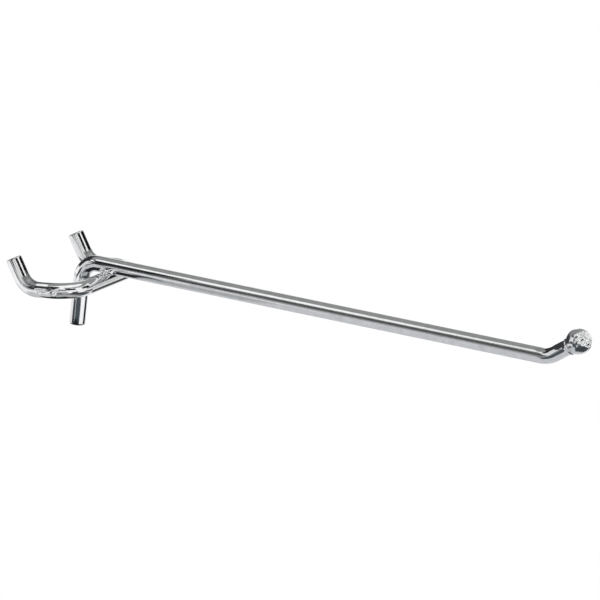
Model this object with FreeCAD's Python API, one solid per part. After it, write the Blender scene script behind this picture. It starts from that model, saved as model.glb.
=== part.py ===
import FreeCAD, Part
import math
import os

# Single hook for a perforated board, made of two pieces of one round wire. The arm is bent down
# into a heel at the board and up to a headed ball in front. The staple lies under the arm, is
# welded to it and carries the two prongs that go through the board.
# Sizes are in millimetres and degrees, and bend radii are to the wire's centre line.
# +X points out of the board, Y runs along it and +Z is up. The origin lies on the board's front
# face, midway between the two holes, where the staple's centre plane crosses it.

# Wire
wire_dia = 5.715              # 0.225 in stock, for 1/4 in holes
end_round = 0.55              # sheared ends, tumbled round

# Staple
prong_spacing = 50.8          # two holes apart on a 25.4 mm grid
leg_slope = 6.7               # the legs fall towards the board
prong_setback = 6.25          # board's front face to the corner point of the prong bend
prong_length = 11.75          # corner point to the prong's end
prong_lean = 32.5             # prongs lean back from the vertical
prong_bend_radius = 6.7
staple_corner_radius = 9.6
heel_gap = 3.25               # open space from the heel to the cross-piece

# Arm
heel_length = 22.95           # arm's centre line to the heel's end
heel_bend_radius = 6.15
arm_length = 179.8            # heel's centre line to the corner point of the tip bend
tip_rise = 36.0
tip_bend_radius = 9.0
tip_length = 13.0             # corner point to the ball's centre

# Ball, headed from the wire in a split die
ball_dia = 9.25
ball_flat_dia = 4.0           # face left by the heading punch
neck_swell = 0.22             # the wire thickens all round in the die's mouth
neck_blend = 0.7              # fillet from the neck to the ball
neck_run = 0.65               # straight part of the neck
neck_taper = 0.6              # length over which the neck runs out on the wire

# Weld
weld_set_down = 0.45          # the wires sink into each other
weld_fillet = 0.6             # metal pressed out round the joint

# Flat that the bending die leaves on the outer side of each leg
grip_flat_length = 4.6
grip_flat_depth = 0.2
grip_flat_offset = 0.25       # from the end of the prong bend

Vec = FreeCAD.Vector
X_AXIS = Vec(1, 0, 0)
Y_AXIS = Vec(0, 1, 0)
Z_AXIS = Vec(0, 0, 1)
wire_radius = wire_dia / 2
ball_radius = ball_dia / 2


def tilted(angle):
    """Unit vector in the XZ plane, at an angle above +X."""
    turn = math.radians(angle)
    return Vec(math.cos(turn), 0, math.sin(turn))


def bend_setback(into, out, radius):
    """Distance from a bend's corner point to where its arc begins."""
    return radius * math.tan(into.getAngle(out) / 2)


def bent_path(corners, radii):
    """Straight runs between corner points, joined by tangent arcs of the given radii."""
    edges = []
    start = corners[0]
    for before, corner, after, radius in zip(corners, corners[1:], corners[2:], radii):
        into = (corner - before).normalize()
        out = (after - corner).normalize()
        setback = bend_setback(into, out, radius)
        inward = (out - into).normalize()
        rise = math.hypot(setback, radius) - radius
        arc_start = corner - into * setback
        arc_end = corner + out * setback
        edges.append(Part.LineSegment(start, arc_start).toShape())
        edges.append(Part.Arc(arc_start, corner + inward * rise, arc_end).toShape())
        start = arc_end
    edges.append(Part.LineSegment(start, corners[-1]).toShape())
    return Part.Wire(edges)


def bent_wire(corners, radii):
    """Round wire along a bent path."""
    section = Part.Wire(Part.makeCircle(wire_radius, corners[0], corners[1] - corners[0]))
    return bent_path(corners, radii).makePipeShell([section], True, False)


def rounded_end(solid, end):
    """The solid with the rim of its cut end rounded."""
    rim = [edge for edge in solid.Edges if edge.CenterOfMass.distanceToPoint(end) < end_round / 10]
    return solid.makeFillet(end_round, rim)


def headed_ball():
    """Ball at the origin with its flat towards +Z and its neck towards -Z."""
    flat_radius = ball_flat_dia / 2
    neck_radius = wire_radius + neck_swell
    flat_height = math.sqrt(ball_radius ** 2 - flat_radius ** 2)
    blend_height = math.sqrt((ball_radius + neck_blend) ** 2 - (neck_radius + neck_blend) ** 2)
    neck_height = blend_height + neck_run
    blend_centre = Vec(neck_radius + neck_blend, 0, -blend_height)
    on_ball = blend_centre * (ball_radius / (ball_radius + neck_blend))
    on_neck = Vec(neck_radius, 0, -blend_height)
    towards_middle = (on_ball + on_neck - blend_centre * 2).normalize()
    outline = [
        Vec(flat_radius, 0, flat_height),
        Vec(0, 0, flat_height),
        Vec(0, 0, -neck_height - neck_taper),
        Vec(wire_radius, 0, -neck_height - neck_taper),
        Vec(neck_radius, 0, -neck_height),
        on_neck,
    ]
    edges = [Part.LineSegment(a, b).toShape() for a, b in zip(outline, outline[1:])]
    edges.append(Part.Arc(on_neck, blend_centre + towards_middle * neck_blend, on_ball).toShape())
    edges.append(Part.Arc(on_ball, Vec(ball_radius, 0, 0), outline[0]).toShape())
    return Part.Face(Part.Wire(edges)).revolve(Vec(0, 0, 0), Z_AXIS, 360)


def make_arm(height):
    """Heel, arm and upturned tip with its ball; the arm's centre line is at the given height."""
    heel_corner = Vec(heel_x, 0, height)
    heel_end = heel_corner - Z_AXIS * heel_length
    tip_corner = heel_corner + X_AXIS * arm_length
    ball_centre = tip_corner + tilted(tip_rise) * tip_length
    corners = [heel_end, heel_corner, tip_corner, ball_centre]
    wire = rounded_end(bent_wire(corners, [heel_bend_radius, tip_bend_radius]), heel_end)
    head = headed_ball()
    head.Placement = FreeCAD.Placement(ball_centre, FreeCAD.Rotation(Z_AXIS, tilted(tip_rise)))
    return wire.fuse(head).removeSplitter()


def grip_flat(bend, prong, side):
    """Block that presses the flat into a leg's outer side, in front of the prong bend."""
    start = bend_setback(-slope, prong, prong_bend_radius) + grip_flat_offset
    block = Part.makeBox(grip_flat_length, wire_dia, wire_dia, Vec(0, -wire_radius, -wire_radius))
    press = Y_AXIS * (side * (wire_dia - grip_flat_depth))
    block.Placement = FreeCAD.Placement(bend + slope * start + press, FreeCAD.Rotation(X_AXIS, slope))
    return block


def make_staple():
    """Prongs, sloping legs and cross-piece in one wire, with the die's flats."""
    prong = tilted(90 + prong_lean)
    bend = slope * (-prong_setback / slope.x)
    cross = slope * (cross_x / slope.x)
    half = Y_AXIS * (prong_spacing / 2)
    right = [bend + prong * prong_length - half, bend - half, cross - half]
    left = [cross + half, bend + half, bend + prong * prong_length + half]
    radii = [prong_bend_radius, staple_corner_radius, staple_corner_radius, prong_bend_radius]
    staple = bent_wire(right + left, radii)
    staple = rounded_end(rounded_end(staple, right[0]), left[-1])
    for side in (-1, 1):
        staple = staple.cut(grip_flat(bend + half * side, prong, side))
    return staple


heel_x = wire_radius                                  # the heel's back rests on the board
cross_x = heel_x + wire_dia + heel_gap
slope = tilted(leg_slope)
cross_height = cross_x * slope.z / slope.x
arm = make_arm(cross_height + wire_dia - weld_set_down)
staple = make_staple()

# The joint's rim is filleted on the two wires together, then the arm is taken out again, so that
# the staple keeps the pressed-out metal and a seat that fits the arm's round underside.
joined = arm.fuse(staple)
rim = arm.section(staple)
seam = [edge for edge in joined.Edges
        if rim.distToShape(Part.Vertex(edge.valueAt(sum(edge.ParameterRange) / 2)))[0] < weld_fillet / 100]
staple = joined.makeFillet(weld_fillet, seam).cut(arm)

os.makedirs("parts", exist_ok=True)
arm.exportStep("parts/arm_wire.step")
staple.exportStep("parts/mounting_staple.step")
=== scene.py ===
import math

import bmesh
import bpy
from mathutils import Matrix, Vector, noise


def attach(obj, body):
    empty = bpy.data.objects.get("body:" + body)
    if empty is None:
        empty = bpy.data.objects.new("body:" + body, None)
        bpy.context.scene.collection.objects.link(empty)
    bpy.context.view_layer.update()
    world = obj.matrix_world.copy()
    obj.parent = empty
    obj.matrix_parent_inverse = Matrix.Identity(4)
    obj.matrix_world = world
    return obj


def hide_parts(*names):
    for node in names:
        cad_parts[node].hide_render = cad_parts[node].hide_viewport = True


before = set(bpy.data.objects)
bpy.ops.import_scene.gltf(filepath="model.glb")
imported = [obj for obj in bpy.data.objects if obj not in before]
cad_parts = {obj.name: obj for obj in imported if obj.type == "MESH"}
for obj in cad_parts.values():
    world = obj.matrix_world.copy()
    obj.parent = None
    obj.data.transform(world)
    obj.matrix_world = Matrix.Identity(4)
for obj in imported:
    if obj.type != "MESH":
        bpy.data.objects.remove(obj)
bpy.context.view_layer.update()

MM = 0.001

# Sizes of the part in millimetres and degrees, as the solids have them. Bend radii are to the
# wire's centre line. X points out of the board, Y runs along it and Z is up.
WIRE_DIA = 5.715
WIRE_R = WIRE_DIA / 2
END_ROUND = 0.55

PRONG_SPACING = 50.8
LEG_SLOPE = 6.7
PRONG_SETBACK = 6.25
PRONG_LENGTH = 11.75
PRONG_LEAN = 32.5
PRONG_BEND_R = 6.7
STAPLE_CORNER_R = 9.6
HEEL_GAP = 3.25

HEEL_LENGTH = 22.95
HEEL_BEND_R = 6.15
ARM_LENGTH = 179.8
TIP_RISE = 36.0
TIP_BEND_R = 9.0
TIP_LENGTH = 13.0

BALL_R = 4.625
BALL_FLAT_R = 2.0
NECK_SWELL = 0.22
NECK_BLEND = 0.7
NECK_RUN = 0.65

WELD_SET_DOWN = 0.45

GRIP_FLAT_LENGTH = 4.6
GRIP_FLAT_DEPTH = 0.2
GRIP_FLAT_OFFSET = 0.25

# Ridge that the heading die leaves round the wire, where the ball begins
COLLAR_RUN = 0.85
RIDGE_HEIGHT = 0.16

# Folds and dents on the ball's front. In degrees from their middle: how far they reach, how wide
# their edge fades, and how much it wanders and is ragged. Fineness is per millimetre, and the
# seed sets how the folds are warped.
CRUMPLE_CENTRE = Vector((0.773, -0.315, 0.548)).normalized()
CRUMPLE_REACH = 41
CRUMPLE_FADE = 7
CRUMPLE_WANDER = 12
CRUMPLE_RAGGED = 7
CRUMPLE_SUNK = 0.06
FOLD_DEPTH = 0.2
FOLD_FINENESS = 0.6
FOLD_WARP = 0.7
FOLD_SEED = 1795995830
DENT_DEPTH = 0.16
DENT_FINENESS = 1.1

# How unevenly and how roughly the bending die bites into its flats
GRIP_UNEVEN = 0.1
GRIP_ROUGH = 0.06

# Round mark of the tool that set the near leg's bend
DIMPLE = Vector((5.0, -27.95, 0.1))
DIMPLE_INWARD = Vector((-0.2, 0.97, 0.1)).normalized()
DIMPLE_R = 1.25
DIMPLE_DEPTH = 0.25
DIMPLE_LIP_R = 1.4 * DIMPLE_R
DIMPLE_LIP_HEIGHT = 0.06

# Matt patch of the bending pin inside each prong bend: how far in from the wire's centre line
# it starts, how softly, between which angles past the bend's ends it stops, in radians, and how
# ragged it is
PIN_PATCH_START = 0.95
PIN_PATCH_SOFT = 0.3
PIN_PATCH_STOP = (-0.02, 0.06)
PIN_PATCH_RAGGED = 0.12

# Metal pressed out at the weld: its reach from the joint's middle, how much further it goes
# along the cross-piece, how much its edge wanders, how hollow its side is, how much the hollow
# ripples, how far its edges lie inside the wires, and its unseen inner radius
WELD_REACH = 1.85
WELD_SPREAD = 0.8
WELD_WANDER = 0.08
WELD_HOLLOW = 0.22
WELD_RIPPLE = 0.04
WELD_OVERLAP = 0.12
WELD_CORE = 1.0

# Fineness of the meshes
SEGMENTS = 160
FACE_RINGS = 6
ROUND_RINGS = 8
COLLAR_RINGS = 12
BLEND_RINGS = 8
BALL_RINGS = 110
BALL_FLAT_RINGS = 24
ARM_BEND_STEP = 1.5
ARM_RING_SPACING = 0.6
STAPLE_BEND_STEP = 1
STAPLE_RING_SPACING = 0.25
WELD_SEGMENTS = 120
WELD_SECTION = 12


def tilted(angle):
    """Unit vector in the XZ plane, at an angle in degrees above +X."""
    turn = math.radians(angle)
    return Vector((math.cos(turn), 0, math.sin(turn)))


def smooth_step(value, low, high):
    """0 below low and 1 above high, with a smooth rise between them."""
    t = min(max((value - low) / (high - low), 0), 1)
    return t * t * (3 - 2 * t)


HEEL_X = WIRE_R
CROSS_X = HEEL_X + WIRE_DIA + HEEL_GAP
SLOPE = tilted(LEG_SLOPE)
CROSS_Z = CROSS_X * SLOPE.z / SLOPE.x
ARM_Z = CROSS_Z + WIRE_DIA - WELD_SET_DOWN
BALL_CENTRE = Vector((HEEL_X + ARM_LENGTH, 0, ARM_Z)) + tilted(TIP_RISE) * TIP_LENGTH

# The prong bends' corner point, seen along Y, and the axis of the pin that they are bent round
PRONG = tilted(90 + PRONG_LEAN)
PRONG_TURN = (-SLOPE).angle(PRONG)
PRONG_CORNER = SLOPE * (-PRONG_SETBACK / SLOPE.x)
TO_PIN = (SLOPE + PRONG).normalized()
PIN = PRONG_CORNER + TO_PIN * (PRONG_BEND_R / math.cos(PRONG_TURN / 2))

# The die's flats, as distances along the legs from the origin
FLAT_START = PRONG_BEND_R * math.tan(PRONG_TURN / 2) + GRIP_FLAT_OFFSET - PRONG_SETBACK / SLOPE.x
FLAT_END = FLAT_START + GRIP_FLAT_LENGTH
FLAT_Y = PRONG_SPACING / 2 + WIRE_R - GRIP_FLAT_DEPTH


# Wire forms

def straight_run(start, end, spacing):
    """Points between two ends, without the ends themselves, and the run's unit tangent."""
    parts = math.ceil((end - start).length / spacing)
    tangent = (end - start).normalized()
    return [(start.lerp(end, k / parts), tangent) for k in range(1, parts)]


def bent_path(corners, radii, step, spacing):
    """Points and unit tangents along straight runs joined by tangent arcs, with an arc point
    every few degrees and a point at each spacing on the runs, but none at the two ends."""
    samples = []
    reached = corners[0]
    for before, corner, after, radius in zip(corners, corners[1:], corners[2:], radii):
        into = (corner - before).normalized()
        out = (after - corner).normalized()
        turn = into.angle(out)
        start = corner - into * (radius * math.tan(turn / 2))
        samples += straight_run(reached, start, spacing)
        inward = (out - into * into.dot(out)).normalized()
        steps = max(2, round(math.degrees(turn) / step))
        for k in range(steps + 1):
            a = turn * k / steps
            point = start + into * (radius * math.sin(a)) + inward * (radius * (1 - math.cos(a)))
            samples.append((point, into * math.cos(a) + inward * math.sin(a)))
        reached = samples[-1][0]
    return samples + straight_run(reached, corners[-1], spacing)


def cut_end(end, outward):
    """Stations from the middle of a sheared end, over its rounded rim, to the full wire."""
    stations = []
    flat = WIRE_R - END_ROUND
    for k in range(FACE_RINGS + 1):
        stations.append((end, -outward, flat * k / FACE_RINGS))
    for k in range(1, ROUND_RINGS + 1):
        a = math.radians(90 * k / ROUND_RINGS)
        centre = end - outward * (END_ROUND * (1 - math.cos(a)))
        stations.append((centre, -outward, flat + END_ROUND * math.sin(a)))
    return stations


def finished(name, mesh):
    """Object of a mesh that is complete, put in the scene."""
    data = bpy.data.meshes.new(name)
    mesh.to_mesh(data)
    mesh.free()
    piece = bpy.data.objects.new(name, data)
    bpy.context.scene.collection.objects.link(piece)
    return piece


def lofted(name, stations, press):
    """Closed tube through round stations (centre, tangent, radius) whose ends have no radius. The
    UV map runs once round the wire in U, and along it in V at the same scale. press moves a point
    of the plain tube to where the tools leave it, and says how marked and how dull it is there."""
    mesh = bmesh.new()
    uv = mesh.loops.layers.uv.new("wire")
    marked = mesh.verts.layers.float.new("marked")
    dull = mesh.verts.layers.float.new("dull")
    tangent = stations[0][1]
    side = tangent.orthogonal().normalized()
    rings = []
    travelled = []
    length = 0.0

    def new_vert(point):
        moved, mark, dullness = press(point)
        vert = mesh.verts.new(moved * MM)
        vert[marked] = mark
        vert[dull] = dullness
        return vert

    for index, (centre, direction, radius) in enumerate(stations):
        side = tangent.rotation_difference(direction) @ side
        tangent = direction
        other = direction.cross(side)
        if index:
            before, _, radius_before = stations[index - 1]
            length += math.hypot((centre - before).length, radius - radius_before)
        travelled.append(length / (2 * math.pi * WIRE_R))
        if radius == 0:
            rings.append([new_vert(centre)])
            continue
        ring = []
        for k in range(SEGMENTS):
            a = 2 * math.pi * k / SEGMENTS
            outward = side * math.cos(a) + other * math.sin(a)
            ring.append(new_vert(centre + outward * radius))
        rings.append(ring)
    for low, high, v_low, v_high in zip(rings, rings[1:], travelled, travelled[1:]):
        around = ((low, v_low, 0), (low, v_low, 1), (high, v_high, 1), (high, v_high, 0))
        for k in range(SEGMENTS):
            corners = []
            for ring, v, step in around:
                vert = ring[(k + step) % len(ring)]
                if all(vert is not known for known, _ in corners):
                    corners.append((vert, ((k + step) / SEGMENTS, v)))
            face = mesh.faces.new([vert for vert, _ in corners])
            face.smooth = True
            for loop, (_, place) in zip(face.loops, corners):
                loop[uv].uv = place
    bmesh.ops.recalc_face_normals(mesh, faces=mesh.faces)
    return finished(name, mesh)


def ball_stations(centre, direction):
    """Stations along the tip's axis: ridge, neck, fillet and ball, to the middle of its flat."""
    neck_r = WIRE_R + NECK_SWELL
    blend = math.sqrt((BALL_R + NECK_BLEND) ** 2 - (neck_r + NECK_BLEND) ** 2)
    profile = []
    for k in range(COLLAR_RINGS + 1):
        share = k / COLLAR_RINGS
        ridge = NECK_SWELL + RIDGE_HEIGHT * (1 - smooth_step(share, 0.5, 0.95))
        radius = WIRE_R + smooth_step(share, 0, 0.45) * ridge
        profile.append((-blend - COLLAR_RUN * (1 - share), radius))
    blend_turn = math.atan2(blend, neck_r + NECK_BLEND)
    for k in range(BLEND_RINGS + 1):
        a = blend_turn * k / BLEND_RINGS
        profile.append((-blend + NECK_BLEND * math.sin(a), neck_r + NECK_BLEND * (1 - math.cos(a))))
    flat_height = math.sqrt(BALL_R ** 2 - BALL_FLAT_R ** 2)
    low = -blend_turn
    high = math.asin(flat_height / BALL_R)
    for k in range(1, BALL_RINGS + 1):
        a = low + (high - low) * k / BALL_RINGS
        profile.append((BALL_R * math.sin(a), BALL_R * math.cos(a)))
    for k in range(1, BALL_FLAT_RINGS + 1):
        profile.append((flat_height, BALL_FLAT_R * (1 - k / BALL_FLAT_RINGS)))
    return [(centre + direction * along, direction, radius) for along, radius in profile]


# Tool marks

def crumpled(point):
    """Ball's front as the heading punch leaves it, with folds and dents about a millimetre across
    and a ragged edge: the moved point and how marked it is. point is relative to the centre."""
    away = point.normalized()
    turn = math.degrees(away.angle(CRUMPLE_CENTRE))
    reach = CRUMPLE_REACH + CRUMPLE_WANDER * noise.noise(away * 2.3)
    reach += CRUMPLE_RAGGED * noise.noise(away * 6)
    mark = smooth_step(reach - turn, 0, CRUMPLE_FADE)
    warped = point + noise.noise_vector(point * FOLD_FINENESS) * FOLD_WARP
    folds = smooth_step(abs(noise.noise(warped * FOLD_FINENESS)), 0, 0.16)
    dents = smooth_step(noise.noise(warped * DENT_FINENESS), 0.2, 0.38)
    return point - away * (mark * (CRUMPLE_SUNK + FOLD_DEPTH * folds + DENT_DEPTH * dents)), mark


def dimpled(point):
    """The near leg's round mark with its raised lip: the moved point and how marked it is."""
    off_mark = (point - DIMPLE).length
    dish = 1 - smooth_step(off_mark, DIMPLE_R * 0.4, DIMPLE_R)
    lip = 1 - smooth_step(off_mark, DIMPLE_R, DIMPLE_LIP_R)
    lip *= smooth_step(off_mark, DIMPLE_R * 0.7, DIMPLE_R)
    return point + DIMPLE_INWARD * (DIMPLE_DEPTH * dish - DIMPLE_LIP_HEIGHT * lip), 0.6 * dish


def pin_mark(point):
    """How dull the bending pin leaves a point on the inner side of a prong bend."""
    away = Vector((point.x - PIN.x, 0, point.z - PIN.z))
    ragged = PIN_PATCH_RAGGED * noise.noise(point * 1.1)
    depth = smooth_step(PRONG_BEND_R - PIN_PATCH_START + ragged - away.length, 0, PIN_PATCH_SOFT)
    past_end = abs(away.angle(-TO_PIN)) + ragged - PRONG_TURN / 2
    return depth * (1 - smooth_step(past_end, *PIN_PATCH_STOP))


def gripped(point):
    """Rough flat that the bending die presses into a leg's outer side: the moved point and how
    marked it is."""
    along = point.dot(SLOPE)
    excess = abs(point.y) - FLAT_Y
    mark = smooth_step(along, FLAT_START - 0.2, FLAT_START + 0.1)
    mark *= smooth_step(FLAT_END - along, -0.1, 0.2) * smooth_step(excess, -0.12, 0.02)
    bite = noise.noise(point * 3.4) * GRIP_ROUGH + abs(noise.noise(point * 1.6)) * GRIP_UNEVEN
    sunk = (max(excess, 0) + bite) * mark
    return point - Vector((0, math.copysign(sunk, point.y), 0)), mark


# Pieces

def make_arm():
    heel_corner = Vector((HEEL_X, 0, ARM_Z))
    heel_end = heel_corner - Vector((0, 0, HEEL_LENGTH))
    tip_corner = heel_corner + Vector((ARM_LENGTH, 0, 0))
    tip = tilted(TIP_RISE)

    def press(point):
        if (point - BALL_CENTRE).length > BALL_R + 0.001:
            return point, 0, 0
        moved, mark = crumpled(point - BALL_CENTRE)
        return BALL_CENTRE + moved, mark, 0

    heel_rim = heel_end + Vector((0, 0, END_ROUND))
    neck = BALL_CENTRE - tip * (BALL_R + NECK_RUN)
    path = bent_path([heel_rim, heel_corner, tip_corner, neck], [HEEL_BEND_R, TIP_BEND_R],
                     ARM_BEND_STEP, ARM_RING_SPACING)
    stations = cut_end(heel_end, Vector((0, 0, -1)))
    stations += [(point, tangent, WIRE_R) for point, tangent in path]
    stations += ball_stations(BALL_CENTRE, tip)
    return lofted("arm", stations, press)


def make_staple():
    half = Vector((0, PRONG_SPACING / 2, 0))
    cross = SLOPE * (CROSS_X / SLOPE.x)
    end = PRONG_CORNER + PRONG * PRONG_LENGTH
    rim = end - PRONG * END_ROUND

    def press(point):
        if (point - DIMPLE).length < DIMPLE_LIP_R:
            moved, mark = dimpled(point)
            return moved, mark, 0
        moved, mark = gripped(point)
        return moved, mark, 0 if mark else pin_mark(point)

    corners = [rim - half, PRONG_CORNER - half, cross - half]
    corners += [cross + half, PRONG_CORNER + half, rim + half]
    radii = [PRONG_BEND_R, STAPLE_CORNER_R, STAPLE_CORNER_R, PRONG_BEND_R]
    path = bent_path(corners, radii, STAPLE_BEND_STEP, STAPLE_RING_SPACING)
    stations = cut_end(end - half, PRONG)
    stations += [(point, tangent, WIRE_R) for point, tangent in path]
    far_end = cut_end(end + half, PRONG)
    stations += [(point, -direction, radius) for point, direction, radius in reversed(far_end)]
    return lofted("staple", stations, press)


def make_weld():
    """Hollow-sided fillet of metal pressed out all round the joint of the arm and the cross-piece,
    most of it along the cross-piece."""
    mesh = bmesh.new()
    uv = mesh.loops.layers.uv.new("wire")
    rings = []
    for k in range(WELD_SEGMENTS):
        t = 2 * math.pi * k / WELD_SEGMENTS
        outward = Vector((math.cos(t), math.sin(t), 0))
        foot = WELD_REACH + WELD_SPREAD * outward.y ** 2
        foot += WELD_WANDER * noise.noise(outward * 1.3)
        hollow = WELD_HOLLOW + WELD_RIPPLE * noise.noise(outward * 3)
        across, along = foot * outward.x, foot * outward.y
        high = ARM_Z - math.sqrt(WIRE_R ** 2 - along ** 2)
        low = CROSS_Z + math.sqrt(WIRE_R ** 2 - across ** 2)
        ring = []
        for i in range(WELD_SECTION + 1):
            part = i / WELD_SECTION
            reach = foot - hollow * math.sin(math.pi * part)
            fall = WELD_OVERLAP + (low - high - 2 * WELD_OVERLAP) * part
            centre = Vector((CROSS_X, 0, high + fall))
            ring.append(mesh.verts.new((centre + outward * reach) * MM))
        inside = Vector((CROSS_X, 0, (high + low) / 2)) + outward * WELD_CORE
        ring.append(mesh.verts.new(inside * MM))
        rings.append(ring)
    for k, (ring, following) in enumerate(zip(rings, rings[1:] + rings[:1])):
        for i in range(len(ring)):
            j = (i + 1) % len(ring)
            face = mesh.faces.new((ring[i], following[i], following[j], ring[j]))
            face.smooth = True
            for loop, (step, rise) in zip(face.loops, ((0, 0), (1, 0), (1, 1), (0, 1))):
                loop[uv].uv = ((k + step) / WELD_SEGMENTS, (i + rise) / (8 * WELD_SECTION))
    bmesh.ops.recalc_face_normals(mesh, faces=mesh.faces)
    return finished("weld_bead", mesh)


noise.seed_set(FOLD_SEED)
arm = make_arm()
staple = make_staple()
weld = make_weld()
for piece, node in ((arm, "arm_wire"), (staple, "mounting_staple")):
    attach(piece, "root")
    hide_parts(node)
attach(weld, "root")


# Materials

class Nodes:
    """Short way to make and join a material's nodes."""

    def __init__(self, material):
        material.use_nodes = True
        self.material = material
        self.tree = material.node_tree

    def add(self, kind, inputs=None, **settings):
        node = self.tree.nodes.new("ShaderNode" + kind)
        for key, value in settings.items():
            setattr(node, key, value)
        for key, value in (inputs or {}).items():
            if isinstance(value, bpy.types.NodeSocket):
                self.tree.links.new(value, node.inputs[key])
            else:
                node.inputs[key].default_value = value
        return node

    def math(self, operation, first, second=0.0, third=0.0):
        return self.add("Math", {0: first, 1: second, 2: third}, operation=operation).outputs[0]

    def mix(self, share, first, second):
        inputs = {"Fac": share, "Color1": first, "Color2": second}
        return self.add("MixRGB", inputs).outputs[0]

    def spread(self, value, low, high, start=0.0, end=1.0):
        """Values from low to high go to start to end, and stop there."""
        inputs = {"Value": value, "From Min": low, "From Max": high, "To Min": start, "To Max": end}
        return self.add("MapRange", inputs).outputs["Result"]


# How fast the drawing lines change along the wire, against how fast they change round it
LINE_SHORTNESS = 0.35
BUMP_DEPTH = 0.004


def plated_steel(name):
    """Bright plating over drawn wire: fine lines along the wire, a faint unevenness from the bath,
    small pits, a duller skin on the ball, whose metal was stretched under the plating, and matt
    metal where the bending pin pressed."""
    material = bpy.data.materials.new(name)
    n = Nodes(material)
    place = n.add("TexCoord").outputs["Object"]
    wire = n.add("SeparateXYZ", {0: n.add("UVMap", uv_map="wire").outputs["UV"]})
    turn = n.math("MULTIPLY", wire.outputs["X"], 2 * math.pi)
    along = n.math("MULTIPLY", wire.outputs["Y"], LINE_SHORTNESS)
    unrolled = n.add("CombineXYZ", {0: n.math("COSINE", turn), 1: n.math("SINE", turn), 2: along})
    unrolled = unrolled.outputs[0]
    drawn = n.add("TexNoise", {"Vector": unrolled, "Scale": 26.0, "Detail": 3.0, "Roughness": 0.6})
    drawn = drawn.outputs["Fac"]
    bands = n.add("TexNoise", {"Vector": unrolled, "Scale": 5.0, "Detail": 2.0}).outputs["Fac"]
    bath = n.add("TexNoise", {"Vector": place, "Scale": 420.0, "Detail": 3.0}).outputs["Fac"]
    grain = n.add("TexNoise", {"Vector": place, "Scale": 1600.0, "Detail": 2.0}).outputs["Fac"]
    pits = n.add("TexVoronoi", {"Vector": place, "Scale": 900.0}).outputs["Distance"]
    pit = n.spread(pits, 0.06, 0.16, 1.0, 0.0)
    ball = n.add("VectorMath", {0: place, 1: BALL_CENTRE * MM}, operation="DISTANCE")
    on_ball = n.spread(ball.outputs["Value"], (BALL_R + 0.2) * MM, (BALL_R + 0.5) * MM, 1.0, 0.0)
    marked = n.add("Attribute", attribute_name="marked").outputs["Fac"]
    dull = n.add("Attribute", attribute_name="dull").outputs["Fac"]
    stretched = n.math("MULTIPLY", on_ball, n.math("SUBTRACT", 1.0, marked))

    streaks = n.math("MULTIPLY_ADD", bath, 0.6, n.math("MULTIPLY", drawn, 0.4))
    tone = n.mix(n.spread(streaks, 0.36, 0.64), (0.82, 0.825, 0.835, 1), (0.98, 0.985, 0.99, 1))
    tone = n.mix(n.math("MULTIPLY", marked, 0.3), tone, (0.84, 0.84, 0.83, 1))
    pressed = n.mix(n.spread(grain, 0.4, 0.6), (0.32, 0.325, 0.33, 1), (0.52, 0.525, 0.53, 1))
    tone = n.mix(dull, tone, pressed)
    rough = n.spread(drawn, 0.3, 0.7, 0.05, 0.12)
    rough = n.math("MULTIPLY_ADD", dull, 0.3, rough)
    rough = n.math("MULTIPLY_ADD", stretched, 0.07, rough)
    rough = n.math("MULTIPLY_ADD", pit, 0.1, rough)

    height = n.math("MULTIPLY_ADD", bands, 2.5, drawn)
    height = n.math("MULTIPLY_ADD", pit, -0.8, height)
    bump = n.add("Bump", {"Strength": 0.5, "Distance": BUMP_DEPTH * MM, "Height": height})
    shader = n.tree.nodes["Principled BSDF"]
    shader.inputs["Metallic"].default_value = 1
    n.tree.links.new(tone, shader.inputs["Base Color"])
    n.tree.links.new(rough, shader.inputs["Roughness"])
    n.tree.links.new(bump.outputs["Normal"], shader.inputs["Normal"])
    return material


chrome = plated_steel("bright_plated_wire")
arm.data.materials.append(chrome)
staple.data.materials.append(chrome)
weld.data.materials.append(chrome)


# Camera: long lens at the photograph's viewing angle, tipped a little about its own axis. The
# picture's width at the part is FIELD metres, and HEEL_TURN is where the heel's corner lies in
# it, in pixels.

AZIMUTH = math.radians(23.54)
ELEVATION = math.radians(13.66)
ROLL = math.radians(5.85)
FIELD = 0.2099
DISTANCE = 9.0
SENSOR = 7.2
PICTURE = 600
HEEL_TURN = (83.48, 260.41)

level = Vector((math.cos(AZIMUTH), math.sin(AZIMUTH), 0))
ahead = Vector((-math.sin(AZIMUTH) * math.cos(ELEVATION), math.cos(AZIMUTH) * math.cos(ELEVATION),
                -math.sin(ELEVATION)))
above = level.cross(ahead)
right = level * math.cos(ROLL) + above * math.sin(ROLL)
up = above * math.cos(ROLL) - level * math.sin(ROLL)
pixel = FIELD / PICTURE
target = (Vector((HEEL_X, 0, ARM_Z)) * MM + right * ((PICTURE / 2 - HEEL_TURN[0]) * pixel)
          - up * ((PICTURE / 2 - HEEL_TURN[1]) * pixel))
camera = bpy.data.objects.new("camera", bpy.data.cameras.new("camera"))
camera.data.sensor_width = SENSOR
camera.data.lens = SENSOR * DISTANCE / FIELD
camera.data.clip_end = 2 * DISTANCE
facing = Matrix((right, up, -ahead)).transposed().to_4x4()
camera.matrix_world = Matrix.Translation(target - ahead * DISTANCE) @ facing
bpy.context.scene.collection.objects.link(camera)
bpy.context.scene.camera = camera

bpy.context.scene.view_settings.view_transform = "Standard"


# Floor, backdrop and light. The room is white, at the level where a colour renders as written.
# Grey and black cards stand round the wire, as a bright finish needs, and are seen by it alone.

FAR_CARD_STEP = 6
NEAR_CARD_PARTS = 8
FLOOR_HEIGHT = -0.09
FLOOR_R = 4
FLOOR_GLOW = 0.12


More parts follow.
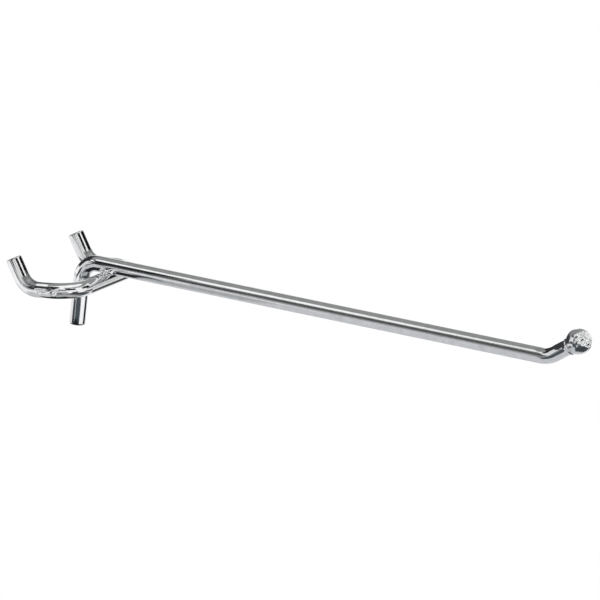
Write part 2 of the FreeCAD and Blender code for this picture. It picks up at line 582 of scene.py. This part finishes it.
def card_finish(name, spans, tone, soft, one_sided):
    """Plain glowing colour that fades to nothing at the card's edges. spans are the card's edges
    across and upward in its UV map, and soft is the fade's width there."""
    n = Nodes(bpy.data.materials.new(name))
    n.tree.nodes.clear()
    place = n.add("SeparateXYZ", {0: n.add("TexCoord").outputs["UV"]})
    fades = []
    for axis, (low, high) in zip("XY", spans):
        from_low = n.math("SUBTRACT", place.outputs[axis], low)
        from_high = n.math("SUBTRACT", high, place.outputs[axis])
        inputs = {"Value": n.math("MINIMUM", from_low, from_high), "From Max": soft}
        fade = n.add("MapRange", inputs, interpolation_type="SMOOTHSTEP")
        fades.append(fade.outputs["Result"])
    shown = n.math("MINIMUM", *fades)
    if one_sided:
        front = n.math("SUBTRACT", 1.0, n.add("NewGeometry").outputs["Backfacing"])
        shown = n.math("MULTIPLY", shown, front)
    glow = n.add("Emission", {"Color": (*tone, 1)})
    clear = n.add("BsdfTransparent")
    mix = n.add("MixShader", {0: shown, 1: clear.outputs[0], 2: glow.outputs[0]})
    n.add("OutputMaterial", {"Surface": mix.outputs[0]})
    return n.material


def card(name, across, upward, spot, finish):
    """Card that only reflections see, in across by upward parts. spot gives a point's place and
    its UV from how far across and up it is, from 0 to 1."""
    mesh = bmesh.new()
    uv = mesh.loops.layers.uv.new("card")
    grid = {}
    for i in range(across + 1):
        for j in range(upward + 1):
            place, mark = spot(i / across, j / upward)
            grid[i, j] = (mesh.verts.new(place), mark)
    for i in range(across):
        for j in range(upward):
            around = [grid[i, j], grid[i + 1, j], grid[i + 1, j + 1], grid[i, j + 1]]
            face = mesh.faces.new([vert for vert, _ in around])
            for loop, (_, mark) in zip(face.loops, around):
                loop[uv].uv = mark
    piece = finished(name, mesh)
    piece.data.materials.append(finish)
    piece.visible_camera = False
    piece.visible_diffuse = False
    piece.visible_shadow = False


def far_card(name, sides, heights, tone, distance, soft):
    """Curved card round the object. sides are its edges in degrees to the camera's left, heights
    are its edges in degrees above the horizon, and its colour fades out over soft degrees."""
    def spot(a, b):
        left = sides[0] + (sides[1] - sides[0]) * a
        lift = heights[0] + (heights[1] - heights[0]) * b
        turn = AZIMUTH - math.pi / 2 - math.radians(left)
        rise = math.radians(lift)
        reach = math.cos(rise)
        ray = Vector((math.cos(turn) * reach, math.sin(turn) * reach, math.sin(rise)))
        return target + ray * distance, (left, lift)

    across = max(2, round((sides[1] - sides[0]) / FAR_CARD_STEP))
    upward = max(2, round((heights[1] - heights[0]) / FAR_CARD_STEP))
    card(name, across, upward, spot, card_finish(name, (sides, heights), tone, soft, False))


def near_card(name, corners, tone, soft):
    """Small card close to the part, seen from its front only. corners are its four corners in
    millimetres, anticlockwise from its front, and soft is the share of it that fades at each
    edge."""
    first, second, third, fourth = (Vector(corner) * MM for corner in corners)

    def spot(a, b):
        return first.lerp(second, a).lerp(fourth.lerp(third, a), b), (a, b)

    finish = card_finish(name, ((0, 1), (0, 1)), tone, soft, True)
    card(name, NEAR_CARD_PARTS, NEAR_CARD_PARTS, spot, finish)


def grey(level):
    return (level, level, level)


BLACK = (0.004, 0.004, 0.005)
INK = (0.015, 0.018, 0.02)
SOOT = (0.03, 0.032, 0.035)
SLATE = (0.07, 0.085, 0.10)
DARK = (0.085, 0.09, 0.09)
MID = (0.28, 0.285, 0.285)
PALE = (0.57, 0.58, 0.6)
BRIGHT = (0.85, 0.85, 0.86)
WHITE = (1, 1, 1)

# Name, sides, heights, tone, distance in metres and soft edge
FAR_CARDS = [
    ("ground", (-184, 184), (-92, -4), PALE, 2.8, 4),
    ("ground_right", (-184, -100), (-60, 6), BRIGHT, 2.7, 4),
    ("ground_left", (60, 184), (-36, -8), BRIGHT, 2.7, 4),
    ("low_front_dark", (-95, 8), (-82, -19), (0.055, 0.06, 0.063), 2.5, 3),
    ("low_right_dark", (-128, -90), (-68, -23), SLATE, 2.5, 3),
    ("low_back_dark", (-162, -134), (-30, -17.5), (0.06, 0.06, 0.065), 2.45, 3),
    ("right_light", (-150, -122), (-15, 4), (0.6, 0.6, 0.59), 2.5, 3),
    ("right_dark", (-152, -124), (3, 23), grey(0.13), 2.45, 3),
    ("ball_left_dark", (78, 112), (-50, -31), grey(0.01), 2.45, 4),
    ("right_white", (-82, -24), (-20, 34), WHITE, 2.45, 3),
    ("heel_slate", (-23, 44), (-20, -8), SLATE, 2.4, 2),
    ("front", (-28, 40), (-8, 42), grey(0.78), 2.6, 4),
    ("front_line", (28, 36), (-12, 30), grey(0.4), 2.5, 3),
    ("front_line_right", (6, 13), (-12, 40), grey(0.25), 2.5, 3),
    ("side_low_dark", (49.5, 88), (-20, 4), (0.06, 0.065, 0.075), 2.4, 3),
    ("upper_front", (14, 62), (32, 58), MID, 2.8, 4),
    ("upper_back", (-184, -138), (16, 92), MID, 2.7, 4),
    ("upper_right", (-142, -4), (40, 57), MID, 2.7, 3),
    ("upper_left_dark", (20, 52), (34, 60), DARK, 2.4, 3),
    ("upper_left_white", (50, 64), (36, 54), WHITE, 2.3, 3),
    ("upper_left_white_back", (60, 78), (49, 62), WHITE, 2.3, 3),
    ("back_left", (68, 184), (26, 92), MID, 2.6, 5),
    ("arm_dark", (36, 54), (0, 35), DARK, 2.3, 3),
    ("arm_mid", (38, 49), (-12, 6), MID, 2.25, 3),
    ("side_light", (55, 92), (5, 30), grey(0.75), 2.35, 3),
    ("side_light_low", (76, 100), (-8, 11), grey(0.95), 2.35, 3),
    ("side_dark", (60, 100), (29, 47), SOOT, 2.2, 3),
    ("back_left_black", (90, 170), (6, 50), SOOT, 2.1, 4),
    ("back_left_black_low", (130, 172), (-4, 12), (0.05, 0.05, 0.055), 2.15, 3),
    ("prong_black", (-50, -21), (17, 39), BLACK, 2.0, 1.5),
    ("prong_bend_black", (-30, -10), (22, 43), BLACK, 1.95, 2),
    ("upper_right_black", (-140, -77), (8, 36), BLACK, 2.0, 2),
    ("lower_right_black", (-130, -88), (-21, -7), BLACK, 2.0, 2),
]

# Name, tone, soft edge and corners
NEAR_CARDS = [
    ("far_prong_black", BLACK, 0.1,
     ((200, 60, 72), (200, 60, 175), (200, 150, 175), (200, 150, 72))),
    ("leg_end_black", INK, 0.2, ((200, 8, 80), (200, 8, 134), (200, 38, 134), (200, 38, 80))),
    ("leg_back_white", WHITE, 0.2,
     ((-31, -50, 40), (-31, -18, 40), (-18, -18, 40), (-18, -50, 40))),
    ("leg_dark_stem", INK, 0.18, ((-28, -60, 1), (-28, -60, 30), (-11, -60, 30), (-11, -60, 1))),
    ("leg_dark", INK, 0.08, ((-46, -60, 24), (-46, -60, 78), (16, -60, 74), (6, -60, 25))),
    ("leg_dark_line", INK, 0.25, ((14, -60, 8), (14, -60, 20), (42, -60, 22), (42, -60, 10))),
    ("arm_line", WHITE, 0.25, ((-20, -60, -14), (-20, -60, -4), (24, -60, -6), (24, -60, -16))),
    ("arm_line_front", grey(0.85), 0.25,
     ((20, -60, -14), (20, -60, -6), (75, -60, -24), (75, -60, -33))),
    ("arm_underside_dark", INK, 0.1, ((-7, -29, -20), (16, -29, -20), (15, 4, -20), (-7, 4, -20))),
    ("arm_underside_grey", (0.4, 0.41, 0.415), 0.22,
     ((-10, -80, -40), (58, -80, -40), (58, 5, -40), (-10, 5, -40))),
    ("corner_light", grey(0.8), 0.12, ((30, -1.5, 7), (30, -1.5, 30), (30, 18, 30), (30, 18, 7))),
    ("corner_dark", DARK, 0.2, ((50, -46, -18), (50, -46, -1), (50, -24, -1), (50, -24, -18))),
    ("tip_light", PALE, 0.12, ((170, -34, -25), (198, -34, -25), (198, 6, -25), (170, 6, -25))),
    ("ball_dark", INK, 0.15, ((190, -60, 4), (189, -60, 31), (203, -60, 31), (206, -60, 4))),
    ("leg_front_dark", SLATE, 0.15, ((1, -40, -46), (1, -40, -13), (13, -40, -13), (13, -40, -46))),
    ("bend_low_white", grey(0.95), 0.12,
     ((-50, -70, -14), (-12, -70, -14), (-12, -22, -14), (-50, -22, -14))),
    ("ball_right_white", grey(0.9), 0.08,
     ((230, -4, 12), (230, -4, 75), (230, 110, 85), (230, 110, 12))),
    ("tip_dark", SLATE, 0.1, ((152, -60, -44), (154, -60, 8), (198, -60, 12), (198, -60, -46))),
    ("ball_back_dark", (0.04, 0.043, 0.046), 0.12,
     ((184, 5, 10.5), (184, 5, 18), (184, -8, 18), (184, -8, 10.5))),
    ("ball_low_dark", (0.05, 0.055, 0.058), 0.15,
     ((191, -17, 3), (200, -17, 3), (200, -3, 3), (191, -3, 3))),
    ("ball_grey", (0.24, 0.24, 0.245), 0.06,
     ((172, 22, 21.5), (172, 22, 60), (172, -12, 60), (172, -12, 21.5))),
]

for name, sides, heights, tone, distance, soft in FAR_CARDS:
    far_card(name, sides, heights, tone, distance, soft)
for name, tone, soft, corners in NEAR_CARDS:
    near_card(name, corners, tone, soft)

world = bpy.data.worlds.new("studio")
world.use_nodes = True
world.node_tree.nodes["Background"].inputs["Color"].default_value = (1, 1, 1, 1)
bpy.context.scene.world = world


def make_floor():
    """Matt pale floor that takes the part's shadow and looks white to the camera."""
    n = Nodes(bpy.data.materials.new("pale_floor"))
    n.tree.nodes.clear()
    rays = n.add("LightPath").outputs
    seen = n.math("MAXIMUM", rays["Is Camera Ray"], rays["Is Glossy Ray"])
    seen = n.math("MAXIMUM", seen, rays["Is Transmission Ray"])
    glow = n.add("Emission", {"Strength": n.math("MULTIPLY", seen, FLOOR_GLOW)})
    matt = n.add("BsdfDiffuse", {"Color": (0.9, 0.9, 0.9, 1)})
    both = n.add("AddShader", {0: matt.outputs[0], 1: glow.outputs[0]})
    n.add("OutputMaterial", {"Surface": both.outputs[0]})
    mesh = bmesh.new()
    bmesh.ops.create_circle(mesh, cap_ends=True, segments=96, radius=FLOOR_R)
    bmesh.ops.translate(mesh, verts=mesh.verts, vec=(0.1, 0, FLOOR_HEIGHT))
    floor = finished("floor", mesh)
    floor.data.materials.append(n.material)
    floor.visible_glossy = False


make_floor()
